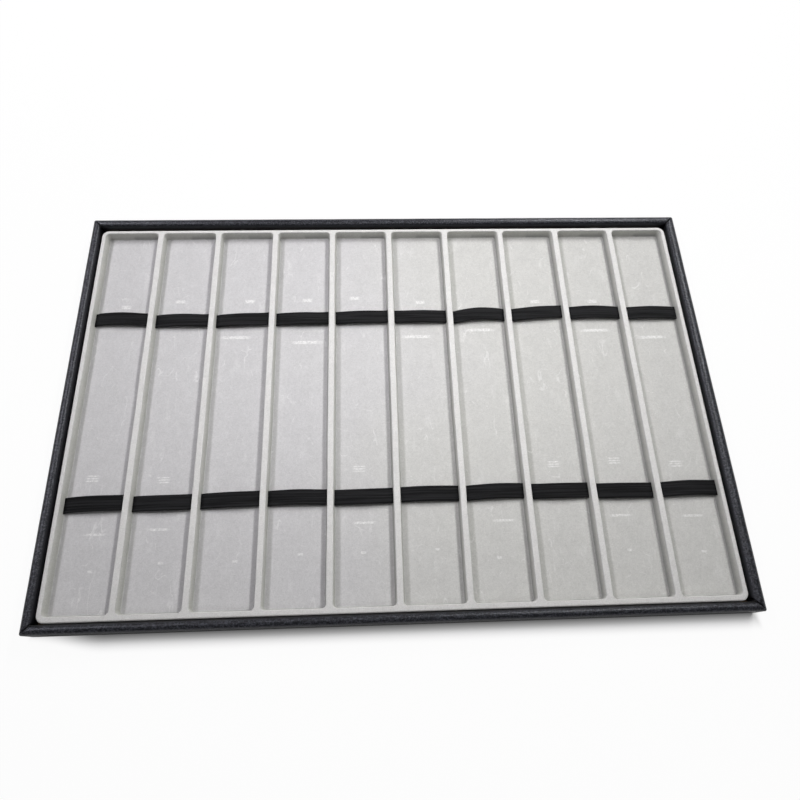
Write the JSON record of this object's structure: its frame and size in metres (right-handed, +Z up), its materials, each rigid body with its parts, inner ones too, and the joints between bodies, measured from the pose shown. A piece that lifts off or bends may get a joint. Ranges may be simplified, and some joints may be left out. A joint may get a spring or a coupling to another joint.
{
  "type": "watch display tray",
  "caption": "Shallow leatherette-wrapped display tray with a flocked grey insert of long compartments crossed by black elastic bands.",
  "frame": {"origin": "middle of the underside, on the surface that the tray rests on", "axes": "+X along the row of compartments to the right, +Y to the back along the compartments, +Z up"},
  "size_m": [0.35, 0.2314, 0.0137],
  "materials": {
    "leatherette": "black grained leatherette, low sheen",
    "board": "raw fibreboard",
    "lining": "black lining sheet",
    "flock": "light grey flocked sheet, lightly scratched and rubbed",
    "elastic": "black ribbed elastic"
  },
  "bodies": {
    "root": {"base_board": "board", "underside_lining": "lining", "compartment_insert": "flock", "front_elastic_band": "elastic", "back_elastic_band": "elastic", "front_rail_core": "board", "front_rail_leatherette": "leatherette", "back_rail_core": "board", "back_rail_leatherette": "leatherette", "left_rail_core": "board", "left_rail_leatherette": "leatherette", "right_rail_core": "board", "right_rail_leatherette": "leatherette"}
  },
  "joints": []
}
